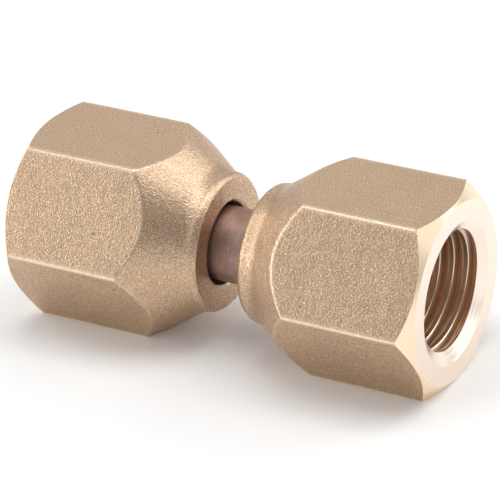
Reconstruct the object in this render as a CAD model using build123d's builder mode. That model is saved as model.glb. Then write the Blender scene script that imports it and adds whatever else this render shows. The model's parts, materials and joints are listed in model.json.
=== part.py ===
from build123d import *
import math
import os

# Flare swivel connector for 1/4 inch tube: two short flare nuts held captive on one
# flared copper tube. Millimetres. The tube lies along X with its middle at the origin,
# +Z is up, and each hexagon has a flat on top and underneath.

# Hexagon and overall length of one nut
across_flats = 15.875        # 5/8 inch spanner size
nut_length = 17.1
boss_gap = 3.8               # free tube between the two bosses
hex_edge_radius = 0.30       # worn forging die edges between the flats
shoulder_edge_radius = 0.20

# Machined mouth of the nut
face_radius = 7.70           # flat ring at the mouth
mouth_chamfer_angle = 38.0   # from the face
countersink_radius = 6.05
countersink_angle = 60.0     # from the axis, a 120 degree countersink

# Forged shoulder and boss of the nut
shoulder_from_mouth = 11.2   # where the hexagon's corners run into the cone
shoulder_angle = 34.5        # from the axis
boss_face_radius = 5.62      # the boss is cut off flat here, through its round end
boss_radius = 5.90
boss_draft = 5.0             # degrees
boss_fillet = 2.4            # hollow curve between cone and boss
boss_round_length = 0.32
boss_round_radius = 0.93
boss_face_edge_radius = 0.13

# 7/16-20 UNF internal thread
thread_pitch = 1.27
thread_major_radius = 5.556
thread_minor_radius = 5.0
thread_root_flat = thread_pitch / 8
thread_half_angle = 30.0
thread_start_angle = 150.0   # where the cut begins, turned about X from the top
relief_radius = 5.75
relief_from_mouth = 8.4
relief_width = 1.2

# Flare seat and tube hole of the nut
seat_angle = 45.0
seat_start_from_mouth = 10.2
tube_hole_radius = 3.60
hole_edge_break = 0.20

# Copper tube
tube_radius = 3.175          # 1/4 inch outside diameter
tube_wall = 0.80
flare_radius = 4.50
flare_wall = 0.76            # the lip thins a little as it is spread
flare_bend_radius = 0.80
flare_lip_radius = 0.12
seat_clearance = 0.07        # along X, between the flare's back and the nut's seat

# Places along X that follow from the sizes above, for the nut on the +X side
boss_x = boss_gap / 2
mouth_x = boss_x + nut_length
shoulder_x = mouth_x - shoulder_from_mouth
corner_radius = across_flats / math.sqrt(3)
blank_radius = corner_radius + 0.5
seat_wide_x = mouth_x - seat_start_from_mouth
seat_narrow_x = seat_wide_x - (thread_minor_radius - tube_hole_radius) / math.tan(
    math.radians(seat_angle)
)
relief_outer_x = mouth_x - relief_from_mouth
relief_inner_x = relief_outer_x - relief_width
countersink_depth = (countersink_radius - thread_minor_radius) / math.tan(
    math.radians(countersink_angle)
)


def line_meeting(x1, r1, slope1, x2, r2, slope2):
    """Where two straight lines of a half profile cross."""
    x = (r2 - r1 + slope1 * x1 - slope2 * x2) / (slope1 - slope2)
    return x, r1 + slope1 * (x - x1)


# ---- Thread groove: a 60 degree V with a flat root, wound right-handed about X ----
groove_inner_radius = thread_minor_radius - 0.15
groove_half_root = thread_root_flat / 2
groove_half_mouth = groove_half_root + (
    thread_major_radius - groove_inner_radius
) * math.tan(math.radians(thread_half_angle))
groove_start_x = relief_inner_x + relief_width / 2
groove_length = mouth_x + thread_pitch - groove_start_x

with BuildLine() as thread_path:
    Helix(
        pitch=thread_pitch,
        height=groove_length,
        radius=thread_minor_radius,
        center=(groove_start_x, 0, 0),
        direction=(1, 0, 0),
    )
groove_start = thread_path.line @ 0
groove_plane = Plane(
    origin=groove_start,
    x_dir=Vector(0, groove_start.Y, groove_start.Z),
    z_dir=thread_path.line % 0,
)
inner_edge = groove_inner_radius - thread_minor_radius
outer_edge = thread_major_radius - thread_minor_radius

with BuildPart() as thread_groove:
    with BuildSketch(groove_plane):
        with BuildLine():
            Polyline(
                (inner_edge, -groove_half_mouth),
                (outer_edge, -groove_half_root),
                (outer_edge, groove_half_root),
                (inner_edge, groove_half_mouth),
                close=True,
            )
        make_face()
    sweep(path=thread_path.line, is_frenet=True)

# ---- Flare nut on the +X side ----
cone_slope = math.tan(math.radians(shoulder_angle))
draft_slope = math.tan(math.radians(boss_draft))
boss_root_x, boss_root_radius = line_meeting(
    shoulder_x, corner_radius, cone_slope, boss_x, boss_radius, draft_slope
)
boss_corner_x = boss_x + boss_round_length
boss_corner_r = boss_radius + draft_slope * boss_round_length
cone_top_x = shoulder_x + (blank_radius - corner_radius) / cone_slope
chamfer_depth = (blank_radius - face_radius) * math.tan(
    math.radians(mouth_chamfer_angle)
)

with BuildPart() as flare_nut_right:
    # Hexagonal bar of the forging
    with BuildSketch(Plane.YZ.offset(boss_x)) as hexagon:
        RegularPolygon(across_flats / 2, 6, major_radius=False)
        fillet(hexagon.vertices(), hex_edge_radius)
    extrude(amount=nut_length)

    # Turned outline: mouth chamfer, cone shoulder, hollow curve and round boss
    with BuildSketch(Plane.XY) as outline:
        with BuildLine():
            Polyline(
                (boss_x, 0),
                (boss_x, boss_face_radius),
                (boss_corner_x, boss_corner_r),
                (boss_root_x, boss_root_radius),
                (cone_top_x, blank_radius),
                (mouth_x - chamfer_depth, blank_radius),
                (mouth_x, face_radius),
                (mouth_x, 0),
                close=True,
            )
        make_face()
        boss_corner = outline.vertices().sort_by_distance((boss_corner_x, boss_corner_r))[0]
        fillet(boss_corner, boss_round_radius)
        face_edge = outline.vertices().sort_by_distance((boss_x, boss_face_radius))[0]
        fillet(face_edge, boss_face_edge_radius)
        boss_root = outline.vertices().sort_by_distance((boss_root_x, boss_root_radius))[0]
        fillet(boss_root, boss_fillet)
    revolve(axis=Axis.X, mode=Mode.INTERSECT)

    # Soft edge where the six flats run out into the cone
    cone = flare_nut_right.faces().filter_by(GeomType.CONE).sort_by(SortBy.AREA)[-1]
    shoulder_edges = cone.edges().filter_by(
        lambda edge: edge.center().X > boss_root_x + boss_fillet
    )
    fillet(shoulder_edges, shoulder_edge_radius)

    # Countersink, thread bore, relief, 45 degree seat and tube hole
    with BuildSketch(Plane.XY):
        with BuildLine():
            Polyline(
                (boss_x, 0),
                (boss_x, tube_hole_radius + hole_edge_break),
                (boss_x + hole_edge_break, tube_hole_radius),
                (seat_narrow_x, tube_hole_radius),
                (seat_wide_x, thread_minor_radius),
                (relief_inner_x, thread_minor_radius),
                (relief_inner_x, relief_radius),
                (relief_outer_x, relief_radius),
                (relief_outer_x, thread_minor_radius),
                (mouth_x - countersink_depth, thread_minor_radius),
                (mouth_x, countersink_radius),
                (mouth_x, 0),
                close=True,
            )
        make_face()
    revolve(axis=Axis.X, mode=Mode.SUBTRACT)

    add(thread_groove.part.rotate(Axis.X, thread_start_angle), mode=Mode.SUBTRACT)

flare_nut_right.part.label = "flare_nut_right"

# ---- Flare nut on the -X side: the same nut turned end for end ----
with BuildPart() as flare_nut_left:
    add(flare_nut_right.part.rotate(Axis.Z, 180))

flare_nut_left.part.label = "flare_nut_left"

# ---- Swivel tube: copper, with a 45 degree flare spread at each end ----
bore_radius = tube_radius - tube_wall
flare_start_x = seat_narrow_x - (tube_hole_radius - tube_radius) + seat_clearance
flare_back_x = flare_start_x + (flare_radius - tube_radius)
lip_step = flare_wall / math.sqrt(2)
lip_x = flare_back_x + lip_step
lip_radius = flare_radius - lip_step
seal_start_x = lip_x - (lip_radius - bore_radius)

with BuildPart() as swivel_tube:
    with BuildSketch(Plane.XY) as wall_section:
        with BuildLine():
            Polyline(
                (0, bore_radius),
                (0, tube_radius),
                (flare_start_x, tube_radius),
                (flare_back_x, flare_radius),
                (lip_x, lip_radius),
                (seal_start_x, bore_radius),
                close=True,
            )
        make_face()
        lip = wall_section.vertices().sort_by(Axis.X)[-2:]
        fillet(lip, flare_lip_radius)
        outer_bend = wall_section.vertices().sort_by_distance((flare_start_x, tube_radius))[0]
        fillet(outer_bend, flare_bend_radius)
        inner_bend = wall_section.vertices().sort_by_distance((seal_start_x, bore_radius))[0]
        fillet(inner_bend, flare_bend_radius + tube_wall)
    revolve(axis=Axis.X)
    mirror(about=Plane.YZ)

swivel_tube.part.label = "swivel_tube"

# ---- One STEP file for each piece ----
os.makedirs("parts", exist_ok=True)
export_step(flare_nut_right.part, "parts/flare_nut_right.step")
export_step(flare_nut_left.part, "parts/flare_nut_left.step")
export_step(swivel_tube.part, "parts/swivel_tube.step")
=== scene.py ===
"""Flare swivel connector: two forged brass flare nuts, each free to turn on a flared copper tube.

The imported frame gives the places: the tube lies along X, and each hexagon has a flat on top. Both nuts
and the tube are built here again as closed meshes with finer edges, threads and surfaces than the CAD's.
"""
import json
import math

import bmesh
import bpy
import numpy as np
from mathutils import Matrix, Vector, noise


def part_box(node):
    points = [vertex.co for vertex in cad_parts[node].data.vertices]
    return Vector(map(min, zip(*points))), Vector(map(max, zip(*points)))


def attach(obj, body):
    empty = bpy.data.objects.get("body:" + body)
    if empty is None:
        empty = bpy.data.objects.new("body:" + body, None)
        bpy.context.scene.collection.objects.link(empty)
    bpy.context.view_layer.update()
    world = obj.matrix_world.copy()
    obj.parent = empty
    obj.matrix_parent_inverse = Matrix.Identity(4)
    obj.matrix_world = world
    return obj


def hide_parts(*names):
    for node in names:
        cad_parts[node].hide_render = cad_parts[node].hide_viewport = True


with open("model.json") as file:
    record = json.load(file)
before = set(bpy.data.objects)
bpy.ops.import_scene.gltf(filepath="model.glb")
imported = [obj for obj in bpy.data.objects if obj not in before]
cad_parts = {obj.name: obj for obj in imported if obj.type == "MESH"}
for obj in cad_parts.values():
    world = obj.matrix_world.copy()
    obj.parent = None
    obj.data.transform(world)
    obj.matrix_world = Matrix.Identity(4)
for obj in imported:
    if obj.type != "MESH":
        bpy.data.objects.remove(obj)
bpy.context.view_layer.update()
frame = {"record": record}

MM = 0.001

# ---- Sizes that the frame gives ----
mounts = {mount["name"]: mount for mount in frame["record"]["mounts"]}
nut_low, nut_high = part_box("flare_nut_right")
_, tube_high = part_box("swivel_tube")
boss_x = nut_low.x
mouth_x = nut_high.x
flat_radius = nut_high.z                   # half the width across the flats
corner_radius = flat_radius / math.cos(math.pi / 6)
thread_minor_radius = mounts["right_thread"]["dims"]["r_mm"] * MM
tube_bore_radius = mounts["tube_bore"]["dims"]["r_mm"] * MM
flare_radius = tube_high.z
lip_x = tube_high.x
floor_z = nut_low.z

# ---- Nut: forged outside ----
hex_edge_radius = 0.30 * MM
shoulder_x = mouth_x - 11.2 * MM           # where the hexagon's corners run into the cone
shoulder_slope = math.tan(math.radians(34.5))
shoulder_reach = 0.16 * MM                 # half length of the soft edge between flat and cone
boss_face_radius = 5.62 * MM               # the boss is cut off flat here, through its round end
boss_face_edge_reach = 0.055 * MM
boss_round_length = 0.32 * MM
boss_round_reach = 0.328 * MM              # half length of the round end
boss_radius = 5.90 * MM
boss_draft = math.tan(math.radians(5.0))
boss_fillet_reach = 0.632 * MM             # half length of the hollow between boss and cone

# ---- Nut: machined mouth ----
face_radius = 7.70 * MM
mouth_chamfer_slope = math.tan(math.radians(38.0))
countersink_radius = 6.05 * MM
countersink_slope = math.tan(math.radians(60.0))

# ---- Nut: bore, from the mouth inwards ----
thread_pitch = 1.27 * MM
thread_major_radius = 5.556 * MM
thread_root_flat = thread_pitch / 8
thread_flank_slope = 1 / math.tan(math.radians(30.0))
relief_radius = 5.75 * MM
relief_outer_x = mouth_x - 8.4 * MM
relief_inner_x = relief_outer_x - 1.2 * MM
thread_start_x = (relief_outer_x + relief_inner_x) / 2
thread_start_angle = math.radians(240.0)   # about X, from +Y
seat_wide_x = mouth_x - 10.2 * MM
hole_radius = 3.60 * MM
hole_edge_break = 0.20 * MM

# ---- Tube ----
tube_radius = 3.175 * MM
flare_wall = 0.76 * MM
flare_lip_reach = 0.10 * MM
flare_bend_reach = 0.33 * MM

# ---- Depth of the forging's unevenness ----
wave_depth = 0.022 * MM
wave_size = 2.6 * MM
ripple_depth = 0.012 * MM
ripple_size = 0.62 * MM
fade_at_hole = [0, 0.4, 0.8]               # its share in the first rows out from the tube hole

# ---- Rubbed edges, with a painted edge highlight ----
edge_wear_and_sheen_width = 0.20 * MM
shoulder_wear_and_sheen_width = 0.14 * MM
shoulder_wear_and_sheen = 0.25                       # against 1 on the hexagon's long edges

# ---- Fineness of the meshes ----
flat_columns = 53
corner_columns = 3
cone_rows = 24
flat_rows = 74
tube_columns = 120
tube_row_length = 0.28 * MM
weld_distance = 1e-7
sharp_angle = math.radians(24)


# ---------------------------------------------------------------- Rows of a turned outline
def straight(start, end, steps):
    """Rows from start up to end, leaving out end itself. Each point is an (x, radius) pair of arrays."""
    rows = []
    for step in range(steps):
        share = step / steps
        rows.append(tuple(a + (b - a) * share for a, b in zip(start, end)))
    return rows


def rounded(before, corner, after, reach, steps):
    """Rows round the arc that leaves each side of a corner at the distance reach from it."""

    def direction(point):
        x = point[0] - corner[0]
        r = point[1] - corner[1]
        length = np.hypot(x, r)
        return x / length, r / length

    ux, ur = direction(before)
    vx, vr = direction(after)
    offset = reach / (1 + ux * vx + ur * vr)
    centre_x = corner[0] + (ux + vx) * offset
    centre_r = corner[1] + (ur + vr) * offset
    first = (corner[0] + ux * reach - centre_x, corner[1] + ur * reach - centre_r)
    last = (corner[0] + vx * reach - centre_x, corner[1] + vr * reach - centre_r)
    size = first[0] ** 2 + first[1] ** 2
    sweep = np.arccos(np.clip((first[0] * last[0] + first[1] * last[1]) / size, -1, 1))
    rows = []
    for step in range(steps):
        share = step / steps
        keep = np.sin((1 - share) * sweep) / np.sin(sweep)
        turn = np.sin(share * sweep) / np.sin(sweep)
        rows.append(
            (centre_x + keep * first[0] + turn * last[0], centre_r + keep * first[1] + turn * last[1])
        )
    return rows


def towards(corner, point, reach):
    """The point at the distance reach from a corner, on the way to another point."""
    x = point[0] - corner[0]
    r = point[1] - corner[1]
    length = np.hypot(x, r)
    return corner[0] + x / length * reach, corner[1] + r / length * reach


# ---------------------------------------------------------------- The nut
def hexagon_angles():
    """Angles about X from +Y for one full turn, closest together round the six corners."""
    round_half_angle = math.atan2(hex_edge_radius / 2, corner_radius - hex_edge_radius)
    flat_half_angle = math.pi / 6 - round_half_angle
    across = np.linspace(-1, 1, flat_columns) * math.tan(flat_half_angle)
    one_side = list(math.pi / 6 + np.arctan(across))
    corner = [round_half_angle * step / corner_columns for step in range(corner_columns)]
    closing_corner = [math.pi / 3 - a for a in reversed(corner[1:])]
    one_side = corner + one_side + closing_corner
    angles = [side * math.pi / 3 + a for side in range(6) for a in one_side]
    return np.array(angles + [2 * math.pi])


def from_corner(angles):
    """How far each angle is from the nearest corner of the hexagon."""
    return np.abs((angles + math.pi / 6) % (math.pi / 3) - math.pi / 6)


def hexagon_radius(angles):
    """Distance from the axis to the hexagon with rounded corners."""
    away = from_corner(angles)
    flat = flat_radius / np.cos(math.pi / 6 - away)
    centre = (flat_radius - hex_edge_radius) / math.cos(math.pi / 6)
    inside = np.clip(hex_edge_radius ** 2 - (centre * np.sin(away)) ** 2, 0, None)
    arc = centre * np.cos(away) + np.sqrt(inside)
    tangent = math.atan2(hex_edge_radius / 2, centre + hex_edge_radius * math.cos(math.pi / 6))
    return np.where(away < tangent, arc, flat)


def thread_radius(x, angles):
    """Distance from the axis to the thread's surface: straight flanks between flat roots and crests."""
    groove = thread_start_x + thread_pitch * (angles - thread_start_angle) / (2 * math.pi)
    along = (x - groove + thread_pitch / 2) % thread_pitch - thread_pitch / 2
    past_root = np.abs(along) - thread_root_flat / 2
    radius = thread_major_radius - np.clip(past_root, 0, None) * thread_flank_slope
    return np.maximum(radius, thread_minor_radius)


def countersink_at(x):
    """Radius of the countersink's cone at a place along X."""
    return countersink_radius - (mouth_x - x) * countersink_slope


def thread_rows(angles, inner_x, outer_x):
    """Rows that follow the thread's helix from the mouth inwards, held between the ends of the bore.

    A row that lies in the countersink, with the next one in the thread, moves to the edge between them.
    """
    groove_half = thread_root_flat / 2
    crest_from_root = groove_half + (thread_major_radius - thread_minor_radius) / thread_flank_slope
    half_pitch = [
        0.0,
        groove_half * 0.8,
        groove_half * 1.3,
        (groove_half + crest_from_root) / 2,
        crest_from_root - 0.02 * MM,
        crest_from_root + 0.03 * MM,
    ]
    places = half_pitch + [thread_pitch / 2] + [thread_pitch - p for p in reversed(half_pitch[1:])]
    first = thread_start_x - thread_pitch * thread_start_angle / (2 * math.pi)
    turn_limit = math.ceil((outer_x - inner_x) / thread_pitch) + 3    # more turns than the bore holds
    starts = [first + turn * thread_pitch for turn in range(-turn_limit, turn_limit)]
    offsets = sorted((start + place for start in starts for place in places), reverse=True)
    advance = thread_pitch * angles / (2 * math.pi)
    above = [x for x in offsets if x >= outer_x]
    offsets = above[-1:] + [x for x in offsets if inner_x - thread_pitch < x < outer_x]
    offsets.append(inner_x - thread_pitch)
    lines = [np.clip(offset + advance, inner_x, outer_x) for offset in offsets]
    depths = [thread_radius(x, angles) - countersink_at(x) for x in lines]
    rows = []
    for index, x in enumerate(lines):
        following = min(index + 1, len(lines) - 1)
        crosses = (depths[index] < 0) & (depths[following] >= 0)
        drop = np.where(crosses, depths[following] - depths[index], 1.0)
        edge = lines[following] + (x - lines[following]) * depths[following] / drop
        x = np.where(crosses, edge, x)
        rows.append((x, np.maximum(thread_radius(x, angles), countersink_at(x))))
    return rows


def nut_outline(angles):
    """The nut's closed half profile as rows over all angles, each with its zone's name."""
    same = np.ones_like(angles)
    hexagon = hexagon_radius(angles)

    def at(x, r):
        return x * same, r * same

    # Forged outside, from the tube hole's edge out over the boss, cone and flats
    hole_edge = at(boss_x, hole_radius + hole_edge_break)
    face_edge = at(boss_x, boss_face_radius)
    boss_round = at(boss_x + boss_round_length, boss_radius + boss_draft * boss_round_length)
    root_x = (boss_radius - boss_draft * boss_x - corner_radius + shoulder_slope * shoulder_x) / (
        shoulder_slope - boss_draft
    )
    boss_root = at(root_x, boss_radius + boss_draft * (root_x - boss_x))
    shoulder = (shoulder_x - (corner_radius - hexagon) / shoulder_slope, hexagon)
    chamfer = (mouth_x - (hexagon - face_radius) * mouth_chamfer_slope, hexagon)
    face = at(mouth_x, face_radius)
    sink = at(mouth_x, countersink_radius)
    sink_end_x = mouth_x - (countersink_radius - thread_major_radius) / countersink_slope
    sink_end = at(sink_end_x, thread_major_radius)

    zones = []
    face_end = towards(face_edge, hole_edge, boss_face_edge_reach)
    round_start = towards(face_edge, boss_round, boss_face_edge_reach)
    round_begins = towards(boss_round, face_edge, boss_round_reach)
    side_start = towards(boss_round, boss_root, boss_round_reach)
    side_end = towards(boss_root, boss_round, boss_fillet_reach)
    zones.append(("boss_face", straight(hole_edge, face_end, 10)))
    zones.append(("boss", rounded(hole_edge, face_edge, boss_round, boss_face_edge_reach, 3)))
    zones.append(("boss", straight(round_start, round_begins, 1)))
    zones.append(("boss", rounded(face_edge, boss_round, boss_root, boss_round_reach, 6)))
    zones.append(("boss", straight(side_start, side_end, 1)))
    zones.append(("boss", rounded(boss_round, boss_root, shoulder, boss_fillet_reach, 9)))
    zones.append(
        (
            "cone",
            straight(
                towards(boss_root, shoulder, boss_fillet_reach),
                towards(shoulder, boss_root, shoulder_reach),
                cone_rows,
            ),
        )
    )
    zones.append(("shoulder", rounded(boss_root, shoulder, chamfer, shoulder_reach, 4)))
    zones.append(("flat", straight(towards(shoulder, chamfer, shoulder_reach), chamfer, flat_rows)))

    # Machined mouth
    zones.append(("chamfer", straight(chamfer, face, 8)))
    zones.append(("face", straight(face, sink, 7)))
    zones.append(("countersink", straight(sink, sink_end, 3)))

    # Bore, from the countersink in to the tube hole
    helix = thread_rows(angles, relief_outer_x, sink_end_x)
    relief_outer = at(relief_outer_x, relief_radius)
    relief_inner = at(relief_inner_x, relief_radius)
    land = at(relief_inner_x, thread_minor_radius)
    seat_wide = at(seat_wide_x, thread_minor_radius)
    seat_narrow = at(seat_wide_x - (thread_minor_radius - hole_radius), hole_radius)
    hole_end = at(boss_x + hole_edge_break, hole_radius)
    zones.append(("thread", helix))
    zones.append(("thread", straight(relief_outer, relief_inner, 3)))
    zones.append(("thread", straight(relief_inner, land, 2)))
    zones.append(("thread", straight(land, seat_wide, 2)))
    zones.append(("seat", straight(seat_wide, seat_narrow, 5)))
    zones.append(("hole", straight(seat_narrow, hole_end, 14)))
    zones.append(("hole", straight(hole_end, hole_edge, 1)))

    rows = [row for _, part in zones for row in part]
    names = [name for name, part in zones for _ in part]
    return rows, names


def unevenness(points):
    """Height of the forging's skin at each point: slow waves with smaller ripples on them."""
    heights = np.empty(len(points))
    for index, point in enumerate(points):
        wave = noise.noise(Vector(point / wave_size))
        ripple = noise.noise(Vector(point / ripple_size) + Vector((7.3, 1.9, 4.2)))
        heights[index] = wave * wave_depth + ripple * ripple_depth
    return heights


def grid_points(rows, angles):
    x = np.array([row[0] for row in rows])
    r = np.array([row[1] for row in rows])
    return np.stack([x, r * np.cos(angles), r * np.sin(angles)], axis=-1)


def grid_normals(grid):
    """Outward direction at each point of a grid of rows by angles."""
    along = np.gradient(grid, axis=0)
    around = np.roll(grid[:, :-1], -1, axis=1) - np.roll(grid[:, :-1], 1, axis=1)
    around = np.concatenate([around, around[:, :1]], axis=1)
    normals = np.cross(along, around)
    length = np.linalg.norm(normals, axis=-1, keepdims=True)
    return normals / np.maximum(length, 1e-12)


def closed_mesh(name, grid, materials, wear_and_edge_sheen):
    """A watertight mesh from a grid whose rows close on themselves, as its columns do.

    materials gives each face's material, for every row by every gap between two columns.
    """
    row_count, column_count = grid.shape[:2]
    mesh = bpy.data.meshes.new(name)
    index = np.arange(row_count * column_count).reshape(row_count, column_count)
    next_row = np.roll(index, -1, axis=0)
    quads = np.stack([index[:, :-1], index[:, 1:], next_row[:, 1:], next_row[:, :-1]], axis=-1)
    mesh.from_pydata(grid.reshape(-1, 3).tolist(), [], quads.reshape(-1, 4).tolist())
    mesh.polygons.foreach_set("material_index", materials.reshape(-1).astype(np.int32))
    # Mask of worn edges that also carries the painted edge highlight
    layer = mesh.attributes.new("wear_and_edge_sheen", "FLOAT", "POINT")
    layer.data.foreach_set("value", wear_and_edge_sheen.reshape(-1).astype(np.float32))

    work = bmesh.new()
    work.from_mesh(mesh)
    bmesh.ops.remove_doubles(work, verts=work.verts, dist=weld_distance)
    bmesh.ops.dissolve_degenerate(work, edges=work.edges, dist=weld_distance / 10)
    bmesh.ops.recalc_face_normals(work, faces=work.faces)
    work.to_mesh(mesh)
    work.free()
    mesh.shade_smooth()
    mesh.set_sharp_from_angle(angle=sharp_angle)
    return mesh


def nut_mesh(name, turned):
    """One flare nut. turned is the rotation that puts it in its place."""
    angles = hexagon_angles()
    rows, names = nut_outline(angles)
    grid = grid_points(rows, angles)
    rotation = np.array(turned.to_3x3())
    names_array = np.array(names)
    forged = np.isin(names_array, ["boss_face", "boss", "cone", "shoulder", "flat"])

    # Rubbed edges with a painted edge highlight: the six long edges, and more faintly the soft edges at the
    # shoulder
    x = np.array([row[0] for row in rows])
    r = np.array([row[1] for row in rows])
    corner_distance = from_corner(angles)[None, :] * r
    shoulder_line = shoulder_x - (corner_radius - hexagon_radius(angles)) / shoulder_slope
    shoulder_distance = np.abs(x - shoulder_line[None, :])
    on_hexagon = (x > shoulder_line[None, :] - 0.05 * MM) & forged[:, None]
    wear_and_edge_sheen = np.exp(-((corner_distance / edge_wear_and_sheen_width) ** 2)) * on_hexagon
    near_shoulder = np.exp(-((shoulder_distance / shoulder_wear_and_sheen_width) ** 2)) * forged[:, None]
    wear_and_edge_sheen = np.maximum(wear_and_edge_sheen, shoulder_wear_and_sheen * near_shoulder)

    # The forging's unevenness, fading out towards the tube hole
    placed = grid @ rotation.T
    height = np.zeros(grid.shape[:2])
    forged_points = placed[forged].reshape(-1, 3)
    height[forged] = unevenness(forged_points).reshape(-1, grid.shape[1])
    fade = np.ones(len(rows))
    fade[: len(fade_at_hole)] = fade_at_hole
    height *= fade[:, None]
    normals = grid_normals(grid)
    outward = np.sign(np.einsum("ijk,ijk->ij", normals, grid * [0, 1, 1]).sum())
    shift = normals * outward * height[..., None]
    shift[~forged] = 0
    grid = grid + shift

    # Places in nut_finishes; the forged zones take the first
    finishes = {"chamfer": 1, "face": 1, "countersink": 1, "thread": 2, "seat": 2, "hole": 3}
    materials = np.array([finishes.get(zone, 0) for zone in names])[:, None] * np.ones(len(angles) - 1)

    # The countersink's cone runs on into the start of the thread
    on_cone = (np.abs(r - countersink_at(x)) < 0.001 * MM) & (names_array == "thread")[:, None]
    materials[on_cone[:, 1:] & on_cone[:, :-1]] = 1
    return closed_mesh(name, grid @ rotation.T, materials, wear_and_edge_sheen)


# ---------------------------------------------------------------- The tube
def tube_mesh(name):
    """The copper tube with a flare spread at each end, closed and turned about X."""
    lip_step = flare_wall / math.sqrt(2)
    lip_radius = flare_radius - lip_step
    flare_back_x = lip_x - lip_step
    flare_start_x = flare_back_x - (flare_radius - tube_radius)
    seal_x = lip_x - (lip_radius - tube_bore_radius)
    angles = np.linspace(0, 2 * math.pi, tube_columns + 1)
    same = np.ones_like(angles)
    corners = [
        (flare_start_x, tube_radius, flare_bend_reach),
        (flare_back_x, flare_radius, flare_lip_reach),
        (lip_x, lip_radius, flare_lip_reach),
        (seal_x, tube_bore_radius, flare_bend_reach * 2),
    ]
    corners = corners + [(-x, r, reach) for x, r, reach in reversed(corners)]
    points = [((x * same, r * same), reach) for x, r, reach in corners]
    rows = []
    for place, (corner, reach) in enumerate(points):
        before, before_reach = points[place - 1]
        after, _ = points[(place + 1) % len(points)]
        side_length = math.dist([before[0][0], before[1][0]], [corner[0][0], corner[1][0]])
        steps = max(2, round(side_length / tube_row_length))
        rows += straight(towards(before, corner, before_reach), towards(corner, before, reach), steps)
        rows += rounded(before, corner, after, reach, 6)
    grid = grid_points(rows, angles)
    one_finish = np.zeros((len(rows), len(angles) - 1))
    return closed_mesh(name, grid, one_finish, np.zeros(grid.shape[:2]))


# ---------------------------------------------------------------- Materials
class Finish:
    """A material under construction, with short names for the nodes it needs."""

    def __init__(self, name):
        self.material = bpy.data.materials.new(name)
        self.material.use_nodes = True
        self.tree = self.material.node_tree
        self.shader = self.tree.nodes["Principled BSDF"]
        self.coords = self.tree.nodes.new("ShaderNodeTexCoord").outputs["Object"]

    def node(self, kind, **settings):
        made = self.tree.nodes.new(kind)
        for key, value in settings.items():
            setattr(made, key, value)
        return made

    def link(self, source, target):
        if isinstance(source, bpy.types.NodeSocket):
            self.tree.links.new(source, target)
        else:
            target.default_value = source

    def noise(self, size, detail=2.0, roughness=0.5, distortion=0.0, vector=None):
        """Soft noise whose features are about size across."""
        made = self.node("ShaderNodeTexNoise")
        self.link(vector or self.coords, made.inputs["Vector"])
        made.inputs["Scale"].default_value = 1 / size
        made.inputs["Detail"].default_value = detail
        made.inputs["Roughness"].default_value = roughness
        made.inputs["Distortion"].default_value = distortion
        return made.outputs["Fac"]

    def cells(self, size, smoothness=1.0, vector=None):
        """Distance to scattered points about size apart."""
        made = self.node("ShaderNodeTexVoronoi", feature="SMOOTH_F1")
        self.link(vector or self.coords, made.inputs["Vector"])
        made.inputs["Scale"].default_value = 1 / size
        made.inputs["Smoothness"].default_value = smoothness
        return made.outputs["Distance"]

    def remap(self, value, low, high, new_low=0.0, new_high=1.0):
        made = self.node("ShaderNodeMapRange", clamp=True)
        self.link(value, made.inputs["Value"])
        made.inputs["From Min"].default_value = low
        made.inputs["From Max"].default_value = high
        made.inputs["To Min"].default_value = new_low
        made.inputs["To Max"].default_value = new_high
        return made.outputs["Result"]

    def math(self, operation, first, second=0.0):
        made = self.node("ShaderNodeMath", operation=operation)
        self.link(first, made.inputs[0])
        self.link(second, made.inputs[1])
        return made.outputs[0]

    def blend(self, factor, first, second):
        """Colour that goes from first to second as factor goes from 0 to 1."""
        made = self.node("ShaderNodeMix", data_type="RGBA")
        self.link(factor, made.inputs[0])
        self.link(first, made.inputs[6])
        self.link(second, made.inputs[7])
        return made.outputs[2]

    def bump(self, height, depth, normal=None):
        """Relief whose height, from 0 to 1, stands for depth."""
        made = self.node("ShaderNodeBump")
        made.inputs["Distance"].default_value = depth
        self.link(height, made.inputs["Height"])
        if normal is not None:
            self.link(normal, made.inputs["Normal"])
        return made.outputs["Normal"]

    def split(self):
        """The x, y and z of the place on the surface."""
        made = self.node("ShaderNodeSeparateXYZ")
        self.link(self.coords, made.inputs[0])
        return made.outputs

    def hypotenuse(self, first, second):
        squares = [self.math("MULTIPLY", side, side) for side in (first, second)]
        return self.math("SQRT", self.math("ADD", *squares))

    def from_axis(self):
        """Distance from the X axis."""
        _, y, z = self.split()
        return self.hypotenuse(y, z)

    def scaled_along_x(self, scale):
        """The place on the surface, for noise that is stretched (below 1) or squeezed (above 1) along X."""
        made = self.node("ShaderNodeMapping")
        self.link(self.coords, made.inputs["Vector"])
        made.inputs["Scale"].default_value = (scale, 1.0, 1.0)
        return made.outputs["Vector"]

    def finish(self, colour, roughness, normal, metallic=1.0):
        self.link(colour, self.shader.inputs["Base Color"])
        self.link(roughness, self.shader.inputs["Roughness"])
        self.link(normal, self.shader.inputs["Normal"])
        self.shader.inputs["Metallic"].default_value = metallic
        return self.material


def rgb(red, green, blue):
    return (red, green, blue, 1.0)


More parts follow.
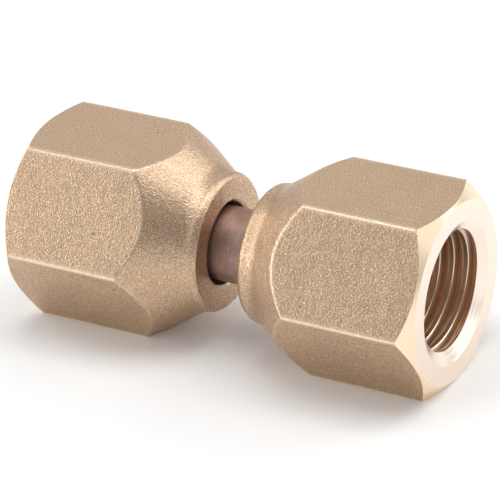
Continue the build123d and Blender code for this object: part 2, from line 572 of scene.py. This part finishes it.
def forged_brass():
    """Shot-blasted forging skin: small leathery bumps, a fine gritty speckle with painted glints, a few
    pits and faint die lines along X.

    It is dull tan, and bright along worn edges, where the bright colour is partly worn metal and partly a
    painted edge highlight.
    """
    skin = Finish("forged_brass")
    wear_and_edge_sheen = skin.node("ShaderNodeAttribute", attribute_name="wear_and_edge_sheen").outputs["Fac"]
    bumps = skin.noise(0.15 * MM, detail=1.0)
    dimples = skin.cells(0.19 * MM, smoothness=0.4)
    # Speckle noise for both the skin's own dark specks and the painted glints
    grit_and_glints = skin.noise(0.115 * MM, detail=0.5)
    patches = skin.noise(2.4 * MM, detail=3.0)
    pits = skin.remap(skin.cells(3.4 * MM, smoothness=0.0), 0.028, 0.050)
    # Worn edges: the mask for a bright colour that is partly worn metal and partly a painted edge highlight
    rubbed_and_sheen = skin.math("MULTIPLY", wear_and_edge_sheen, skin.remap(skin.noise(0.5 * MM), 0.30, 0.62, 0.65, 0.95))

    tan = skin.blend(skin.remap(patches, 0.35, 0.65), rgb(0.63, 0.447, 0.300), rgb(0.68, 0.487, 0.330))
    speckled = skin.blend(skin.remap(grit_and_glints, 0.36, 0.58), rgb(0.49, 0.345, 0.23), tan)
    # Painted glints: bright specks in the colour that stand in for sparkling highlights
    painted_glints = skin.blend(skin.remap(grit_and_glints, 0.59, 0.76), speckled, rgb(0.87, 0.66, 0.48))
    pitted = skin.blend(pits, rgb(0.34, 0.24, 0.17), painted_glints)
    # Painted edge highlight mixed with worn metal: bright colour along the edges
    colour = skin.blend(rubbed_and_sheen, pitted, rgb(0.96, 0.78, 0.59))
    roughness = skin.math(
        "SUBTRACT", skin.remap(bumps, 0.3, 0.7, 0.46, 0.38), skin.math("MULTIPLY", rubbed_and_sheen, 0.10)
    )

    streaks = skin.noise(0.55 * MM, detail=0.0, vector=skin.scaled_along_x(0.03))
    lines = skin.remap(streaks, 0.66, 0.72)
    along = skin.math("ABSOLUTE", skin.split()["X"])
    on_flats = skin.remap(along, shoulder_x, shoulder_x + 2.0 * MM, 0.0, 0.55)

    relief = skin.math("ADD", bumps, skin.math("MULTIPLY", dimples, 0.6))
    relief = skin.math("ADD", relief, skin.math("MULTIPLY", lines, on_flats))
    relief = skin.math("MULTIPLY", relief, skin.math("SUBTRACT", 1.0, skin.math("MULTIPLY", wear_and_edge_sheen, 0.85)))
    dented = skin.math("ADD", relief, pits)
    normal = skin.bump(dented, 0.027 * MM)
    return skin.finish(colour, roughness, normal)


def machined_brass():
    """Bright turned brass: pinkish on the face, yellower on the chamfer, ringed in the countersink."""
    metal = Finish("machined_brass")
    radius = metal.from_axis()
    rings = metal.noise(0.07 * MM, detail=2.0, vector=radius)
    haze = metal.noise(0.9 * MM, detail=3.0)
    on_chamfer = metal.remap(radius, face_radius - 0.02 * MM, face_radius + 0.02 * MM)
    in_countersink = metal.remap(radius, countersink_radius, countersink_radius - 0.04 * MM)
    face = metal.blend(haze, rgb(0.96, 0.81, 0.68), rgb(0.98, 0.86, 0.75))
    colour = metal.blend(on_chamfer, face, rgb(0.98, 0.78, 0.56))
    polish = metal.math("MULTIPLY", in_countersink, 0.14)
    roughness = metal.math("SUBTRACT", metal.remap(haze, 0.3, 0.7, 0.26, 0.34), polish)
    depth = metal.remap(in_countersink, 0.0, 1.0, 0.25, 1.0)
    normal = metal.bump(metal.math("MULTIPLY", rings, depth), 0.018 * MM)
    return metal.finish(colour, roughness, normal)


def thread_brass():
    """Cut thread and seat, darker and redder towards the roots: painted shade in the thread's hollows."""
    metal = Finish("thread_brass")
    depth = metal.remap(metal.from_axis(), thread_minor_radius, thread_major_radius)
    rings = metal.noise(0.08 * MM, detail=2.0, vector=metal.from_axis())
    # Painted shade: the colour darkens towards the thread roots
    colour = metal.blend(depth, rgb(0.96, 0.78, 0.62), rgb(0.88, 0.63, 0.46))
    roughness = metal.remap(rings, 0.3, 0.7, 0.24, 0.30)
    normal = metal.bump(rings, 0.002 * MM)
    return metal.finish(colour, roughness, normal)


def hole_brass():
    """Drilled wall of the tube hole, dulled by heat and oil."""
    metal = Finish("hole_brass")
    haze = metal.noise(0.8 * MM, detail=3.0)
    colour = metal.blend(haze, rgb(0.84, 0.67, 0.55), rgb(0.94, 0.77, 0.64))
    roughness = metal.remap(haze, 0.3, 0.7, 0.40, 0.55)
    normal = metal.bump(haze, 0.010 * MM)
    return metal.finish(colour, roughness, normal)


def copper_tube():
    """Drawn copper gone dull mauve brown, with fine scratches round the tube."""
    metal = Finish("copper_tube")
    haze = metal.noise(1.2 * MM, detail=4.0)
    scratches = metal.noise(0.9 * MM, detail=3.0, vector=metal.scaled_along_x(9.0))
    dark = metal.blend(metal.remap(haze, 0.35, 0.65), rgb(0.35, 0.230, 0.190), rgb(0.42, 0.29, 0.245))
    colour = metal.blend(metal.remap(scratches, 0.60, 0.76), dark, rgb(0.60, 0.44, 0.37))
    roughness = metal.remap(scratches, 0.3, 0.7, 0.52, 0.42)
    normal = metal.bump(scratches, 0.006 * MM)
    return metal.finish(colour, roughness, normal)


def floor_paper():
    """Plain white studio paper that glows a little round the part, and more from 0.2 to 0.9 m out."""
    paper = Finish("floor_paper")
    fibres = paper.noise(1.5 * MM, detail=3.0)
    colour = paper.blend(fibres, rgb(0.88, 0.88, 0.88), rgb(0.90, 0.90, 0.90))
    paper.shader.inputs["Emission Color"].default_value = rgb(1.0, 1.0, 1.0)
    x, y, _ = paper.split()
    glow = paper.remap(paper.hypotenuse(x, y), 0.2, 0.9, 0.06, 0.65)
    paper.link(glow, paper.shader.inputs["Emission Strength"])
    return paper.finish(colour, 0.9, paper.bump(fibres, 0.01 * MM), metallic=0.0)


# ---------------------------------------------------------------- Pieces
def add_piece(mesh, body, node, materials):
    piece = bpy.data.objects.new(mesh.name, mesh)
    bpy.context.scene.collection.objects.link(piece)
    for material in materials:
        mesh.materials.append(material)
    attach(piece, body)
    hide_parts(node)
    return piece


nut_finishes = [forged_brass(), machined_brass(), thread_brass(), hole_brass()]
half_turn = Matrix.Rotation(math.pi, 4, "Z")
right_nut = nut_mesh("right_flare_nut", Matrix.Identity(4))
left_nut = nut_mesh("left_flare_nut", half_turn)
add_piece(right_nut, "right_nut", "flare_nut_right", nut_finishes)
add_piece(left_nut, "left_nut", "flare_nut_left", nut_finishes)
add_piece(tube_mesh("flared_tube"), "tube", "swivel_tube", [copper_tube()])


# ---------------------------------------------------------------- Floor, light and camera
softbox_width = 0.36
softbox_distance = 0.6


def direction_from(azimuth, elevation):
    """Unit vector from the part towards a place seen at these angles; azimuth 0 is in front, on -Y."""
    azimuth = math.radians(azimuth)
    elevation = math.radians(elevation)
    level = math.cos(elevation)
    return Vector((math.sin(azimuth) * level, -math.cos(azimuth) * level, math.sin(elevation)))


def add_floor(half_width):
    mesh = bpy.data.meshes.new("floor")
    corners = [(-1, -1), (1, -1), (1, 1), (-1, 1)]
    mesh.from_pydata([(x * half_width, y * half_width, floor_z) for x, y in corners], [], [(0, 1, 2, 3)])
    mesh.materials.append(floor_paper())
    floor = bpy.data.objects.new("floor", mesh)
    bpy.context.scene.collection.objects.link(floor)


def add_softbox(name, azimuth, elevation, watts):
    """A white square softbox that faces the part from these angles."""
    light = bpy.data.lights.new(name, "AREA")
    light.shape = "SQUARE"
    light.size = softbox_width
    light.energy = watts
    lamp = bpy.data.objects.new(name, light)
    lamp.location = direction_from(azimuth, elevation) * softbox_distance
    lamp.rotation_euler = lamp.location.to_track_quat("Z", "Y").to_euler()
    bpy.context.scene.collection.objects.link(lamp)


def add_world(overhead, horizon):
    """White surroundings, bright in a narrow band above the horizon and dimmer overhead."""
    world = bpy.data.worlds.new("studio")
    world.use_nodes = True
    nodes = world.node_tree.nodes
    background = nodes["Background"]
    background.inputs["Color"].default_value = rgb(1.0, 1.0, 1.0)
    direction = nodes.new("ShaderNodeTexCoord")
    upwards = nodes.new("ShaderNodeSeparateXYZ")
    fade = nodes.new("ShaderNodeMapRange")
    fade.inputs["From Min"].default_value = math.sin(math.radians(3))
    fade.inputs["From Max"].default_value = math.sin(math.radians(9))
    fade.inputs["To Min"].default_value = horizon
    fade.inputs["To Max"].default_value = overhead
    links = world.node_tree.links
    links.new(direction.outputs["Generated"], upwards.inputs[0])
    links.new(upwards.outputs["Z"], fade.inputs["Value"])
    links.new(fade.outputs["Result"], background.inputs["Strength"])
    bpy.context.scene.world = world


def add_camera(aim, azimuth, elevation, roll, distance, lens):
    camera = bpy.data.cameras.new("camera")
    camera.lens = lens
    camera.sensor_width = 36
    camera.clip_start = 0.01
    camera.clip_end = 20
    holder = bpy.data.objects.new("camera", camera)
    back = direction_from(azimuth, elevation)
    turned = back.to_track_quat("Z", "Y").to_matrix() @ Matrix.Rotation(math.radians(roll), 3, "Z")
    holder.matrix_world = Matrix.Translation(aim + back * distance) @ turned.to_4x4()
    bpy.context.scene.collection.objects.link(holder)
    bpy.context.scene.camera = holder


add_floor(3.0)
add_world(overhead=0.25, horizon=0.85)
add_softbox("overhead", 0, 90, 1.27)
add_softbox("front_left_low", -60, 8, 1.08)
add_softbox("front_fill", -30, 32, 0.24)
add_softbox("front_left_high", -60, 58, 0.30)
add_softbox("left_side", -90, 32, 0.80)
add_softbox("back_left", -150, 32, 0.32)
add_softbox("back_right", 150, 32, 0.89)
add_softbox("back_right_high", 120, 58, 0.74)
add_softbox("right_side", 90, 32, 0.26)
add_softbox("right_low", 120, 8, 0.40)
add_camera(Vector((0.10, -0.05, -0.17)) * MM, 29.948, 29.342, -3.361, 296.91 * MM, 258.55)
bpy.context.scene.view_settings.view_transform = "Standard"
